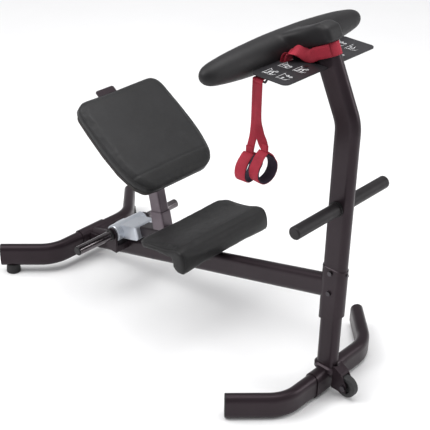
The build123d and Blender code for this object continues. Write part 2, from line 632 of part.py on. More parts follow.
def column_top(column_solid):
    roll = roll_shape()
    a = lean_point(226, 47)
    b = lean_point(226, -47)
    c = lean_point(LEAN_LEN + 16, -30)
    d = lean_point(LEAN_LEN + 19, 20)
    e = lean_point(LEAN_LEN + 4, 45)
    limb_pts = [(a[0], a[2]), (b[0], b[2]), (ROLL_X + 10, ROLL_Z - 30), (ROLL_X - 6, ROLL_Z),
                (ROLL_X + 4, ROLL_Z + 40), (c[0], c[2]), (d[0], d[2]), (e[0], e[2])]
    limb = profile_xz(limb_pts, 28)
    tall = limb.edges().filter_by(Axis.Y).sort_by(Axis.X)[-2:]
    limb = fillet(tall, 12)
    front = [ed for ed in limb.edges() if abs(abs((ed @ 0.5).Y) - 28) < 0.1 and (ed @ 0.5).X > ROLL_X + 60]
    front = [ed for ed in front if (ed @ 0.5).X > b[0] + 20]
    limb = chamfer(front, 8)
    pad = roll + limb
    bar_y = 250.0
    core = rod((ROLL_X, -bar_y, ROLL_Z), (ROLL_X, bar_y, ROLL_Z), 12.5)
    tip = lean_point(LEAN_LEN - 12)
    arm = box_bar((ROLL_X, 0, ROLL_Z), (tip[0], 0, tip[2]), 26, 24, (0, 0, 1), 0, 5)
    arm = arm - core
    arm_in = arm - column_solid
    arm_in = arm_in.solids().sort_by(SortBy.VOLUME)[-1]
    pad = pad - core - arm - column_solid
    save("roll_core_bar", core)
    save("roll_support_arm", arm_in)
    pad = pad.solids().sort_by(SortBy.VOLUME)[-1]
    save("roll_pad", pad)
    return pad


def placard(column_solid):
    x0 = COL_X - 188.0
    x1 = COL_X - 66.0
    plate = extrude(Pos((x0 + x1) / 2, 0, PLATE_Z) * RectangleRounded(x1 - x0, 388, 18), amount=3)
    plate = plate - block(x0 - 1, COL_X - 166, SLOT_Y - 4, SLOT_Y + 40, PLATE_Z - 1, PLATE_Z + 4)
    notch = extrude(Pos(COL_X - 62, 0, PLATE_Z - 20) * Rectangle(124, UP_W + 4), amount=60)
    plate = plate - notch
    bracket = block(x0 + 51, x1 - 16, -172, 172, PLATE_Z - 4, PLATE_Z)
    web = block(x0 + 51, x1 + 10, -10, 10, PLATE_Z - 22, PLATE_Z - 4)
    bracket = bracket + web
    bracket = bracket - column_solid
    screws = []
    for y in (-150, -60, 60, 150):
        x = x0 + 79
        s = rod((x, y, PLATE_Z - 4), (x, y, PLATE_Z + 3), 2.5) + rod((x, y, PLATE_Z + 3), (x, y, PLATE_Z + 5), 5)
        plate = plate - s
        bracket = bracket - s
        screws.append(s)
    save("placard", plate)
    save("placard_bracket", joined([bracket]))
    return screws, plate


# ---- straps ----------------------------------------------------------------------------
TAIL_W = 25.0        # width of the two hanging straps
LOOP_W = 35.0        # width of the hand loops' webbing
HANG_Y = -187.0
HANG_X = (COL_X - 175.0, COL_X - 162.0)
LOOP_TOP = ((COL_X - 178.0, -195.0, 818.0), (COL_X - 132.0, -188.0, 836.0))
LOOP_DROP = (84.0, 96.0)
LOOP_WIDE = 78.0
LOOP_TURN = (6.0, -4.0)
RUN_Z = 1040.0
LAYER = WEB_T + 0.6      # pitch of two straps that lie on each other


def strip_yz(points, radius, x):
    """Strap that follows a centre line in Y and Z, its width along X."""
    line = FilletPolyline(*[(0, y, z) for y, z in points], radius=radius)
    plane = Plane(origin=line @ 0, x_dir=(1, 0, 0), z_dir=line % 0)
    return Pos(x, 0, 0) * sweep(plane * Rectangle(TAIL_W, WEB_T), path=line)


def twisted(a, a_wide, a_dir, a_width, b, b_wide, b_dir, b_width):
    """Webbing that turns from one crossing to the next: centre, width direction, travel direction, width."""
    first = Plane(origin=a, x_dir=a_wide, z_dir=a_dir) * Rectangle(a_width, WEB_T)
    last = Plane(origin=b, x_dir=b_wide, z_dir=b_dir) * Rectangle(b_width, WEB_T)
    return loft([first.face(), last.face()], ruled=True)


def hand_loop(top, drop, turn):
    """Closed teardrop of webbing under the point top, with its soft lining."""
    rim = LOOP_WIDE / 2
    low = -drop + rim
    ang = math.asin(rim / abs(low))

    def ring(grow):
        r = rim + grow
        ax = r * math.cos(ang)
        az = low + r * math.sin(ang)
        peak = grow / math.sin(ang)
        arc = ThreePointArc((ax, az), (0, low - r), (-ax, az))
        left = Line((-ax, az), (0, peak))
        right = Line((0, peak), (ax, az))
        return make_face([arc, left, right])

    outer = ring(0)
    middle = ring(-WEB_T)
    inner = ring(-WEB_T - 3.0)
    a = math.radians(turn)
    place = Plane(origin=top, x_dir=(-math.sin(a), math.cos(a), 0), z_dir=(math.cos(a), math.sin(a), 0))
    web = extrude(outer - middle, amount=LOOP_W / 2, both=True)
    lining = extrude(middle - inner, amount=LOOP_W / 2 + 1, both=True)
    return place * web, place * lining


def straps(pad, plate):
    """Band round the column's top, leads through the notch, runs under the placard, tails and loops."""
    ring_plane = Plane(origin=lean_point(188), x_dir=LEAN_FWD, z_dir=LEAN_UP)
    gap = 0.5
    ring = SlotOverall(UP_H + 2 * gap + 2 * WEB_T, UP_W + 2 * gap + 2 * WEB_T)
    ring -= SlotOverall(UP_H + 2 * gap, UP_W + 2 * gap)
    band = extrude(ring_plane * ring, amount=WEB_W)
    save("strap_band", band)

    side = UP_W / 2 + gap + WEB_T * 1.5 + 0.4
    starts = [lean_point(206, -UP_H / 2 - 5.0, 2), lean_point(206, -10, -side)]
    start_dirs = [(-0.75, -0.6, -0.35), (-0.9, -0.1, -0.43)]
    down = (0, 0, -1)
    tail_low = (850.0, 895.0)
    leads = None
    for i in (0, 1):
        layer = (1 - i) * LAYER      # the second strap lies on the first
        z = RUN_Z - layer
        y = HANG_Y + layer
        x = HANG_X[i] - 9.0
        drop = block(x - WEB_T / 2, x + WEB_T / 2, SLOT_Y, SLOT_Y + 36, z + WEB_T / 2 + 0.2, 1066)
        foot = (x, SLOT_Y + 18, 1066)
        lead = twisted(starts[i], LEAN_UP, start_dirs[i], WEB_W, foot, (0, 1, 0), (-0.2, 0, -1), WEB_W)
        lead = lead + drop
        leads = leads + lead if leads else lead
        bend = 7.0 - layer
        tail = strip_yz([(SLOT_Y + 36, z), (y, z), (y, tail_low[i])], bend, HANG_X[i])
        print(f"strap_tail_{i + 1}: bend over the keeper bar {bend:.1f} mm, straight below it")
        top = LOOP_TOP[i]
        end = (top[0], top[1], top[2] + 2.0)
        turn = math.radians(LOOP_TURN[i])
        along = (math.cos(turn), math.sin(turn), 0)
        tail = tail + twisted((HANG_X[i], y, tail_low[i]), (1, 0, 0), down, TAIL_W, end, along, down, TAIL_W)
        save(f"strap_tail_{i + 1}", joined([tail]))
        web, lining = hand_loop(top, LOOP_DROP[i], LOOP_TURN[i])
        save(f"hand_loop_{i + 1}", web)
        save(f"loop_lining_{i + 1}", lining)
    save("strap_leads", joined([leads - pad - plate - band]))
    ky = HANG_Y + LAYER + WEB_T / 2 + 3.2
    kz = RUN_Z - LAYER - WEB_T / 2 - 3.2
    bar = rod((HANG_X[0] - 14, ky, kz), (HANG_X[1] + 15, ky, kz), 2.8)
    post = rod((HANG_X[1] + 15, ky - 1, kz - 1), (HANG_X[1] + 17, ky + 18, PLATE_Z + 1), 2.8)
    save("strap_keeper", bar + post - plate)


# ---- build -----------------------------------------------------------------------------
front_base()
fasteners = rear_base()
end_caps()
upper, sleeve, bolt_heads = column()
save("spine_tube", spine(sleeve))
sleeve_outer = sleeve
save("column_sleeve", sleeve_outer)
bar = pegs()
save("upper_column", upper - bar)
wheel()
pivot()
stops()
arm_solid = carriage()
seat_bolts = seat(arm_solid)
back_bolts, back_depth = back_pad()
back_bracket(back_depth)
column_solid = upper_column_outer()
pad_solid = column_top(column_solid)
placard_screws, plate_solid = placard(column_solid)
straps(pad_solid, plate_solid)
save("column_bolts", joined(bolt_heads))
save("frame_screws", joined(fasteners + placard_screws))
save("seat_bolts", joined(seat_bolts))
save("back_bolts", joined(back_bolts))
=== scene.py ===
import json
import math
import bpy
from mathutils import Matrix, Vector, noise
from mathutils.bvhtree import BVHTree

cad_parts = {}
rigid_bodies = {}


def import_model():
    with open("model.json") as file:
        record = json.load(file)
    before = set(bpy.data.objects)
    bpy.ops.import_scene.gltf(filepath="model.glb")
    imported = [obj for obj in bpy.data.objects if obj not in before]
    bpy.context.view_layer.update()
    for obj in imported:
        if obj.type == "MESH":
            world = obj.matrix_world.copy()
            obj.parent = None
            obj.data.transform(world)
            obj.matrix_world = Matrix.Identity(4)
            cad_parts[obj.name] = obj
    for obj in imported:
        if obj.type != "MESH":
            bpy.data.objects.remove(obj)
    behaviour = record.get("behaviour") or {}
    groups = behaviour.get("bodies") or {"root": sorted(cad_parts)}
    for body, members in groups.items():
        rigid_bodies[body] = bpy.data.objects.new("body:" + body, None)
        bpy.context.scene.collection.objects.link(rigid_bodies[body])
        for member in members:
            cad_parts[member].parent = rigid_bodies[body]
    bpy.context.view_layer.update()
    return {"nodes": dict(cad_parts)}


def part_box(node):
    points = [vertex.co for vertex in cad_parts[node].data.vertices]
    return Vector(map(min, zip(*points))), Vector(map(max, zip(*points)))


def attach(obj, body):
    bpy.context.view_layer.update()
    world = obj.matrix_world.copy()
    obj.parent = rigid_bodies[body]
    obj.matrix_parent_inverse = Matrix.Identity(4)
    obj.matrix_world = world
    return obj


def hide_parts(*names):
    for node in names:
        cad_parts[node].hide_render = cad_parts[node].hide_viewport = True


for leftover in list(bpy.data.objects):
    bpy.data.objects.remove(leftover)
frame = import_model()
NODES = frame["nodes"]
SCENE = bpy.context.scene


# ---- places, read from the frame ---------------------------------------------------------
def centre(node):
    lo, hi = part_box(node)
    return (Vector(lo) + Vector(hi)) / 2


COL = centre("lower_column").x          # the column's axis
BEND_Z = 0.903                          # height at which the column starts to lean
LEAN = math.radians(25.8)
LEAN_UP = Vector((-math.sin(LEAN), 0, math.cos(LEAN)))
LEAN_FWD = Vector((math.cos(LEAN), 0, math.sin(LEAN)))
UP_H, UP_W = 0.079, 0.039               # section of the upper column
ROLL = centre("roll_core_bar")


def lean_point(s, fwd=0.0, y=0.0):
    """Point s metres up the leaning part of the column, fwd ahead of its axis."""
    return Vector((COL, y, BEND_Z)) + LEAN_UP * s + LEAN_FWD * fwd


# ---- node graphs ---------------------------------------------------------------------------
class Graph:
    """A material whose nodes are added one call at a time."""

    def __init__(self, name):
        self.material = bpy.data.materials.new(name)
        self.material.use_nodes = True
        self.tree = self.material.node_tree
        self.shader = self.tree.nodes["Principled BSDF"]
        self.place = self.add("ShaderNodeTexCoord").outputs["Object"]

    def add(self, kind, **values):
        node = self.tree.nodes.new(kind)
        for key, value in values.items():
            if hasattr(node, key):
                setattr(node, key, value)
            else:
                node.inputs[key.replace("_", " ")].default_value = value
        return node

    def link(self, out, into):
        self.tree.links.new(out, into)

    def set(self, **values):
        for key, value in values.items():
            self.shader.inputs[key.replace("_", " ")].default_value = value

    def noise(self, scale, detail=3.0, rough=0.55, at=None):
        node = self.add("ShaderNodeTexNoise", Scale=scale, Detail=detail, Roughness=rough)
        self.link(at or self.place, node.inputs["Vector"])
        return node.outputs["Fac"]

    def cells(self, scale):
        """Distance to the nearest edge between cells."""
        node = self.add("ShaderNodeTexVoronoi", feature="DISTANCE_TO_EDGE", Scale=scale)
        self.link(self.place, node.inputs["Vector"])
        return node.outputs["Distance"]

    def stretch(self, scale):
        """Coordinates scaled unevenly, which draws a pattern out into lines."""
        node = self.add("ShaderNodeMapping")
        node.inputs["Scale"].default_value = scale
        self.link(self.place, node.inputs["Vector"])
        return node.outputs["Vector"]

    def ramp(self, fac, *stops):
        """Colour or grey by a factor; each stop is (position, value)."""
        node = self.add("ShaderNodeValToRGB")
        ramp = node.color_ramp
        while len(ramp.elements) < len(stops):
            ramp.elements.new(0.5)
        for element, (at, colour) in zip(ramp.elements, stops):
            element.position = at
            grey = (colour,) * 3 if isinstance(colour, float) else colour
            element.color = (*grey, 1.0)
        self.link(fac, node.inputs["Fac"])
        return node.outputs["Color"]

    def math(self, kind, a, b=0.0, c=0.0):
        node = self.add("ShaderNodeMath", operation=kind)
        for socket, value in zip(node.inputs, (a, b, c)):
            if isinstance(value, (int, float)):
                socket.default_value = value
            else:
                self.link(value, socket)
        return node.outputs[0]

    def mix(self, fac, a, b):
        node = self.add("ShaderNodeMix", data_type="RGBA", blend_type="MIX")
        for socket, value in ((node.inputs[0], fac), (node.inputs[6], a), (node.inputs[7], b)):
            if isinstance(value, (int, float)):
                socket.default_value = value
            elif isinstance(value, tuple):
                socket.default_value = (*value, 1.0)
            else:
                self.link(value, socket)
        return node.outputs[2]

    def along(self, direction, low, high):
        """0 at distance low along a direction, 1 at high, in metres."""
        dot = self.add("ShaderNodeVectorMath", operation="DOT_PRODUCT")
        self.link(self.place, dot.inputs[0])
        dot.inputs[1].default_value = direction
        node = self.add("ShaderNodeMapRange", From_Min=low, From_Max=high, clamp=True)
        self.link(dot.outputs["Value"], node.inputs["Value"])
        return node.outputs["Result"]

    def colour(self, out):
        self.link(out, self.shader.inputs["Base Color"])

    def rough(self, fac, low, high):
        node = self.add("ShaderNodeMapRange", To_Min=low, To_Max=high)
        self.link(fac, node.inputs["Value"])
        self.link(node.outputs["Result"], self.shader.inputs["Roughness"])

    def bump(self, *layers):
        """Each layer is (height, strength, depth in metres); the first lies underneath."""
        below = None
        for height, strength, depth in layers:
            node = self.add("ShaderNodeBump", Strength=strength, Distance=depth)
            self.link(height, node.inputs["Height"])
            if below:
                self.link(below, node.inputs["Normal"])
            below = node.outputs["Normal"]
        self.link(below, self.shader.inputs["Normal"])


# ---- materials -------------------------------------------------------------------------------
def scaled(colour, gain, lift=0.0):
    """The colour made lighter or darker."""
    return tuple(min(1.0, v * gain + lift) for v in colour)


def coated(name, dark, light, rough=(0.3, 0.42), metallic=0.0, coat=0.25, tint=(1.0, 1.0, 1.0)):
    """Powder coat: slight mottling, orange peel, faint rubbed streaks."""
    g = Graph(name)
    broad = g.noise(5.0, 4.0)
    rubbed = g.noise(14.0, 5.0, 0.65)
    base = g.ramp(broad, (0.3, dark), (0.72, light))
    dust = scaled(light, 1.5, 0.008)
    g.colour(g.mix(g.ramp(rubbed, (0.58, 0.0), (0.8, 0.4)), base, dust))
    g.rough(g.noise(35.0, 4.0), *rough)
    g.set(Metallic=metallic, Coat_Weight=coat, Coat_Roughness=0.22,
          Specular_IOR_Level=0.30, Specular_Tint=(*tint, 1.0))
    g.bump((g.noise(120.0, 2.0), 0.05, 0.0006), (g.noise(850.0, 2.0), 0.16, 0.0002))
    return g.material


def metal(name, dark, light, rough, grain_dir=(1, 30, 30), depth=0.00006):
    """Metal with fine turning or polishing lines and uneven shine."""
    g = Graph(name)
    lines = g.noise(60.0, 4.0, 0.7, g.stretch(grain_dir))
    broad = g.noise(16.0, 4.0)
    shade = g.math("MULTIPLY_ADD", lines, 0.5, g.math("MULTIPLY", broad, 0.5))
    g.colour(g.ramp(shade, (0.36, dark), (0.62, light)))
    g.rough(lines, *rough)
    g.set(Metallic=1.0)
    g.bump((lines, 0.25, depth), (g.noise(40.0, 2.0), 0.04, 0.0004))
    return g.material


def vinyl(name, dark, light, darker_bands=None, scuff=0.5):
    """Upholstery vinyl: leather grain in cells, fine creases, mottled shade.

    The fourth argument lists regions painted darker, each as (direction, low, high, amount)."""
    g = Graph(name)
    broad = g.noise(4.5, 5.0, 0.6)
    fine = g.noise(70.0, 4.0, 0.6)
    shade = g.ramp(broad, (0.28, dark), (0.74, light))
    grain = g.cells(620.0)
    # the grain's grooves are painted darker: painted shade in the grooves
    base = g.mix(g.ramp(grain, (0.0, 0.35), (0.16, 0.0)), shade, scaled(dark, 0.45))
    rub = g.ramp(g.noise(11.0, 6.0, 0.7), (0.56, 0.0), (0.86, scuff))
    base = g.mix(rub, base, scaled(light, 1.35, 0.006))
    # each listed region is painted darker, with a noisy border
    for direction, low, high, amount in darker_bands or ():
        edge = g.math("MULTIPLY_ADD", g.noise(22.0, 3.0), 0.22, g.along(direction, low, high))
        fall = g.ramp(edge, (0.3, float(amount)), (0.72, 0.0))
        base = g.mix(fall, base, scaled(dark, 0.3))
    g.colour(base)
    g.rough(fine, 0.42, 0.6)
    g.set(Specular_IOR_Level=0.32, Sheen_Weight=0.03, Sheen_Roughness=0.45)
    creases = g.ramp(g.cells(240.0), (0.0, 0.0), (0.12, 1.0))
    g.bump((g.noise(26.0, 3.0), 0.12, 0.0012), (creases, 0.12, 0.0002),
           (g.ramp(grain, (0.0, 0.0), (0.3, 1.0)), 0.3, 0.00025))
    return g.material


def foam_skin(name, dark, light):
    """Moulded foam with its own skin: satin, softly mottled, with a very fine grain and light specks."""
    g = Graph(name)
    broad = g.noise(5.5, 5.0, 0.55)
    shade = g.ramp(broad, (0.3, dark), (0.72, light))
    specks = g.ramp(g.noise(260.0, 2.0), (0.62, 0.0), (0.74, 0.35))
    g.colour(g.mix(specks, shade, scaled(light, 1.5)))
    g.rough(g.noise(30.0, 4.0), 0.46, 0.62)
    g.set(Specular_IOR_Level=0.34, Sheen_Weight=0.03, Sheen_Roughness=0.5)
    g.bump((g.noise(18.0, 3.0), 0.1, 0.0014), (g.noise(420.0, 3.0, 0.7), 0.3, 0.00025))
    return g.material


def plastic(name, dark, light, rough=(0.4, 0.55), pitted=0.25):
    """Moulded plastic or rubber with a fine spark texture."""
    g = Graph(name)
    g.colour(g.ramp(g.noise(30.0, 5.0), (0.3, dark), (0.75, light)))
    g.rough(g.noise(90.0, 3.0), *rough)
    g.set(Specular_IOR_Level=0.32)
    g.bump((g.noise(1100.0, 3.0, 0.7), pitted, 0.00015))
    return g.material


def woven(name, dark, light, pitch=0.0016, across=0.0011, sheen=0.5):
    """Webbing: plain weave in the strip's own length and width, in metres, with a little fuzz."""
    g = Graph(name)
    uv = g.add("ShaderNodeUVMap", uv_map="strip")
    split = g.add("ShaderNodeSeparateXYZ")
    g.link(uv.outputs["UV"], split.inputs["Vector"])
    u, v = split.outputs["X"], split.outputs["Y"]
    wave_u = g.math("SINE", g.math("MULTIPLY", u, 2 * math.pi / pitch))
    wave_v = g.math("SINE", g.math("MULTIPLY", v, 2 * math.pi / across))
    weave = g.math("MULTIPLY_ADD", g.math("MULTIPLY", wave_u, wave_v), 0.5, 0.5)
    rib = g.math("MULTIPLY_ADD", wave_v, 0.5, 0.5)
    height = g.math("MULTIPLY_ADD", weave, 0.6, g.math("MULTIPLY", rib, 0.4))
    broad = g.noise(24.0, 5.0, 0.6)
    # the raised yarns are painted lighter and the gaps between them darker, as painted highlight and shade,
    # mixed with random mottling
    relief_shade_and_mottle = g.math("MULTIPLY_ADD", height, 0.5, g.math("MULTIPLY", broad, 0.5))
    shade = g.ramp(relief_shade_and_mottle, (0.25, dark), (0.75, light))
    fuzz = g.ramp(g.noise(900.0, 2.0), (0.6, 0.0), (0.8, 0.3))
    g.colour(g.mix(fuzz, shade, scaled(light, 1.3, 0.02)))
    g.rough(g.noise(200.0, 3.0), 0.62, 0.8)
    g.set(Sheen_Weight=sheen, Sheen_Roughness=0.4, Specular_IOR_Level=0.3,
          Sheen_Tint=(light[0], light[1] * 1.2, light[2] * 1.2, 1.0))
    g.bump((broad, 0.1, 0.0008), (height, 0.55, 0.00035))
    return g.material


def plywood(name):
    """Dark stained board with its veneer's grain across the machine."""
    g = Graph(name)
    veneer = g.noise(9.0, 6.0, 0.65, g.stretch((14, 1.2, 14)))
    g.colour(g.ramp(veneer, (0.25, (0.010, 0.008, 0.007)), (0.5, (0.020, 0.016, 0.014)),
                    (0.8, (0.034, 0.028, 0.024))))
    g.rough(veneer, 0.6, 0.78)
    g.bump((veneer, 0.3, 0.0003))
    return g.material


def wheel_rubber(name):
    """Black tyre rubber, coarser than the moulded parts."""
    g = Graph(name)
    g.colour(g.ramp(g.noise(60.0, 5.0), (0.3, (0.012, 0.012, 0.013)), (0.75, (0.026, 0.025, 0.026))))
    g.rough(g.noise(120.0, 3.0), 0.5, 0.75)
    g.bump((g.noise(500.0, 4.0, 0.7), 0.35, 0.0003))
    return g.material


PAD_UP = Vector((-0.8296, 0.0, 0.5584))        # up the back pad's face
PAD_NORMAL = Vector((0.5584, 0.0, 0.8296))     # out of that face
PAD_LOW = Vector((COL - 0.626, 0.0, 0.508))    # middle of its lower edge
PAD_LOW_UP = PAD_LOW.dot(PAD_UP)

FRAME = coated("frame_powder_coat", (0.0095, 0.0062, 0.0078), (0.0165, 0.0112, 0.0138),
               coat=0.05, tint=(1.0, 0.80, 0.90))
ARM = coated("arm_powder_coat", (0.0085, 0.0068, 0.0080), (0.0150, 0.0120, 0.0142),
             coat=0.05, tint=(1.0, 0.86, 0.95))
BRACKET = coated("bracket_grey_metallic", (0.085, 0.066, 0.078), (0.155, 0.125, 0.145), (0.3, 0.42), 0.45)
HOUSING = coated("housing_silver_paint", (0.42, 0.45, 0.50), (0.60, 0.63, 0.68), (0.24, 0.36), 0.55, 0.4)
GRIP = metal("grip_dark_chrome", (0.10, 0.088, 0.092), (0.21, 0.19, 0.20), (0.14, 0.26), (30, 1, 30))
SHAFT = metal("turned_steel", (0.36, 0.35, 0.36), (0.52, 0.51, 0.52), (0.2, 0.35), (1, 30, 1))
BOLT = metal("bolt_black_zinc", (0.05, 0.045, 0.05), (0.12, 0.11, 0.12), (0.25, 0.45), (8, 8, 8))
MOULDED = plastic("moulded_black", (0.008, 0.0075, 0.008), (0.015, 0.014, 0.015))
RUBBER = plastic("foot_rubber", (0.012, 0.012, 0.012), (0.026, 0.025, 0.026), (0.6, 0.8), 0.4)
FOOT_GRIP = plastic("peg_grip_rubber", (0.009, 0.0075, 0.0085), (0.018, 0.015, 0.017), (0.42, 0.58), 0.4)
PLACARD = plastic("placard_black", (0.014, 0.013, 0.015), (0.024, 0.023, 0.026), (0.36, 0.46), 0.1)
INK = plastic("placard_ink", (0.50, 0.50, 0.51), (0.66, 0.66, 0.67), (0.5, 0.6), 0.1)
PLY = plywood("plywood_board")
TYRE = wheel_rubber("tyre_rubber")
ROLL_SKIN = foam_skin("roll_skin", (0.0052, 0.0046, 0.0054), (0.0105, 0.0096, 0.0108))
# the back pad's vinyl is painted darker towards its lower edge
BACK_VINYL = vinyl("back_vinyl", (0.0110, 0.0108, 0.0114), (0.0205, 0.0202, 0.0212),
                   [(PAD_UP, PAD_LOW_UP + 0.03, PAD_LOW_UP + 0.10, 0.75)])
SEAT_VINYL = vinyl("seat_vinyl", (0.0068, 0.0064, 0.0068), (0.0130, 0.0125, 0.0132), scuff=0.35)
RED_WEB = woven("red_webbing", (0.20, 0.010, 0.022), (0.46, 0.030, 0.055))
LINING = woven("loop_lining", (0.016, 0.009, 0.020), (0.040, 0.026, 0.046), 0.0022, 0.0018, 0.25)

FINISH = {
    FRAME: "lower_column upper_column column_sleeve column_foot_collar spine_tube front_base_tube "
           "front_base_sleeve rear_base_tube rear_base_saddle pivot_bracket_near pivot_bracket_far "
           "wheel_fork placard_bracket roll_support_arm back_support_plate",
    ARM: "seat_arm seat_wedge_plate strap_keeper",
    BRACKET: "back_bracket_socket back_bracket_tube",
    HOUSING: "pivot_housing",
    GRIP: "grip_tube_near grip_tube_far",
    SHAFT: "pivot_shaft roll_core_bar peg_bar",
    BOLT: "column_bolts frame_screws seat_bolts back_bolts wheel_axle_bolt wheel_axle_nut",
    MOULDED: "pivot_bushes pivot_collars peg_collars grip_end_caps base_end_caps seat_arm_cap wheel_hub",
    RUBBER: "front_base_pads rear_feet tilt_stops",
    FOOT_GRIP: "peg_grips",
    PLACARD: "placard",
    PLY: "seat_board back_board",
    TYRE: "wheel_tyre",
}
for finish, names in FINISH.items():
    for name in names.split():
        NODES[name].data.materials.clear()
        NODES[name].data.materials.append(finish)


# ---- mesh helpers ------------------------------------------------------------------------------
def around(n):
    """n angles evenly round a circle."""
    return [2 * math.pi * k / n for k in range(n)]


def make(name, points, faces, material, uv=None):
    """Smooth-shaded object; uv holds one pair for each point, as the webbing's own coordinates."""
    mesh = bpy.data.meshes.new(name)
    mesh.from_pydata([tuple(p) for p in points], [], faces)
    mesh.materials.append(material)
    if uv:
        layer = mesh.uv_layers.new(name="strip")
        for loop in mesh.loops:
            layer.data[loop.index].uv = uv[loop.vertex_index]
    mesh.validate()
    mesh.polygons.foreach_set("use_smooth", [True] * len(mesh.polygons))
    obj = bpy.data.objects.new(name, mesh)
    SCENE.collection.objects.link(obj)
    return obj


def skin(rings, loop=False):
    """Points and quads through rings of equal count, with flat ends; loop joins the ends instead."""
    n = len(rings[0])
    points = [p for ring in rings for p in ring]
    faces = []
    last = len(rings) if loop else len(rings) - 1
    for i in range(last):
        j = (i + 1) % len(rings)
        for k in range(n):
            m = (k + 1) % n
            faces.append((i * n + k, i * n + m, j * n + m, j * n + k))
    if not loop:
        faces.append(tuple(reversed(range(n))))
        faces.append(tuple(range((len(rings) - 1) * n, len(rings) * n)))
    return points, faces


def bake_modifiers(obj):
    """Replaces the mesh with what its modifiers make of it."""
    graph = bpy.context.evaluated_depsgraph_get()
    graph.update()
    mesh = bpy.data.meshes.new_from_object(obj.evaluated_get(graph))
    materials = list(obj.data.materials)
    obj.modifiers.clear()
    obj.data = mesh
    mesh.materials.clear()
    for m in materials:
        mesh.materials.append(m)
    mesh.polygons.foreach_set("use_smooth", [True] * len(mesh.polygons))


def voxels(obj, size):
    """Even mesh of cells about size across."""
    remesh = obj.modifiers.new("voxels", "REMESH")
    remesh.mode = "VOXEL"
    remesh.voxel_size = size
    remesh.use_smooth_shade = True
    bake_modifiers(obj)


def smooth(obj, times):
    mod = obj.modifiers.new("smooth", "SMOOTH")
    mod.iterations = times
    mod.factor = 0.5
    bake_modifiers(obj)


def subdivide(obj):
    mod = obj.modifiers.new("finer", "SUBSURF")
    mod.levels = mod.render_levels = 1
    bake_modifiers(obj)


CLOTH_FRAMES = 20
CLOTH_CAP = 0.004                       # no point moves further than this


def inflate(obj, pressure=3.0, stiffness=40.0):
    """Cloth under inner pressure, applied to the mesh."""
    before = [v.co.copy() for v in obj.data.vertices]
    cloth = obj.modifiers.new("cloth", "CLOTH")
    cloth.settings.quality = 5
    cloth.settings.mass = 0.3
    cloth.settings.tension_stiffness = cloth.settings.compression_stiffness = stiffness
    cloth.settings.use_pressure = True
    cloth.settings.uniform_pressure_force = pressure
    cloth.settings.effector_weights.gravity = 0.0
    cloth.collision_settings.use_collision = False
    for f in range(1, CLOTH_FRAMES + 1):
        SCENE.frame_set(f)
    bake_modifiers(obj)
    SCENE.frame_set(1)
    for v, start in zip(obj.data.vertices, before):
        move = v.co - start
        if move.length > CLOTH_CAP:
            v.co = start + move * (CLOTH_CAP / move.length)


def relax(path, times):
    """Evens out a closed line."""
    for _ in range(times):
        path = [(path[i - 1] + path[i] * 2 + path[(i + 1) % len(path)]) / 4 for i in range(len(path))]
    return path


def surface(obj):
    """Search tree over the mesh, for laying seams on it."""
    return BVHTree.FromPolygons([v.co for v in obj.data.vertices], [p.vertices for p in obj.data.polygons])


def done(obj, body, *replaced, slot=None):
    """Puts a finished piece on its body, in place of the CAD nodes that it stands for."""
    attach(obj, body)
    if replaced:
        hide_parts(*replaced)
    return obj


def catmull(points, per):
    """Smooth line through the points, per samples a span."""
    pts = [2 * points[0] - points[1]] + list(points) + [2 * points[-1] - points[-2]]
    out = []
    for i in range(1, len(pts) - 2):
        a, b, c, d = pts[i - 1:i + 3]
        for k in range(per):
            t = k / per
            out.append(0.5 * (2 * b + (c - a) * t + (2 * a - 5 * b + 4 * c - d) * t * t
                              + (3 * b - a - 3 * c + d) * t ** 3))
    out.append(points[-1].copy())
    return out


def piping(name, path, radius, material, body, slot, sides=8):
    """Round bead along a closed line."""
    rings = []
    n = len(path)
    a = None
    for i, p in enumerate(path):
        t = (path[(i + 1) % n] - path[i - 1]).normalized()
        a = (t.orthogonal() if a is None else a - t * a.dot(t)).normalized()
        b = t.cross(a)
        rings.append([p + (a * math.cos(q) + b * math.sin(q)) * radius for q in around(sides)])
    done(make(name, *skin(rings, loop=True), material), body, slot=slot)


# ---- webbing -------------------------------------------------------------------------------------
# section of the webbing: shares of its width and of its thickness
STRIP = ((-0.5, 0.0), (-0.47, 0.42), (-0.25, 0.5), (0.0, 0.5), (0.25, 0.5), (0.47, 0.42),
         (0.5, 0.0), (0.47, -0.42), (0.25, -0.5), (0.0, -0.5), (-0.25, -0.5), (-0.47, -0.42))


def ribbon(name, line, wides, width, thick, material, loop=False):
    """Flat strap along line; wides are its width directions, one a point. width may vary along it."""
    n = len(line)
    widths = width if isinstance(width, (list, tuple)) else [width] * n
    rings, uv = [], []
    run = 0.0
    for i in range(n):
        ahead = line[(i + 1) % n] if loop or i < n - 1 else line[i]
        behind = line[i - 1] if loop or i else line[i]
        t = (ahead - behind).normalized()
        w = (wides[i] - t * wides[i].dot(t)).normalized()
        normal = t.cross(w)
        if i:
            run += (line[i] - line[i - 1]).length
        rings.append([line[i] + w * (a * widths[i]) + normal * (b * thick) for a, b in STRIP])
        uv += [(run, a * widths[i]) for a, b in STRIP]
    return make(name, *skin(rings, loop=loop), material, uv)


def resample(line, step):
    """The same line with points about step apart."""
    out = [line[0].copy()]
    left = step
    for a, b in zip(line, line[1:]):
        d = (b - a).length
        at = left
        while at < d:
            out.append(a.lerp(b, at / d))
            at += step
        left = at - d
    out.append(line[-1].copy())
    return out


# ---- seat cushion --------------------------------------------------------------------------------
SEAT_REAR = Vector((COL - 0.636, 0, 0.345))    # middle of the top's rear edge
SEAT_FRONT = COL - 0.424                       # x of the front face
SEAT_DIR = math.atan2(0.036, 0.178)            # slope of the top
SEAT_FWD = Vector((math.cos(SEAT_DIR), 0, math.sin(SEAT_DIR)))
SEAT_UP = Vector((-math.sin(SEAT_DIR), 0, math.cos(SEAT_DIR)))
SEAT_HALF = 0.2015                             # half of the width


def seat_at(s, up):
    """Point s metres forward of the top's rear edge, up above it."""
    return SEAT_REAR + SEAT_FWD * s + SEAT_UP * up


def nose_at(ahead, z):
    """Point on the seat's rolled front, ahead of its face."""
    return Vector((SEAT_FRONT + ahead, 0, z))


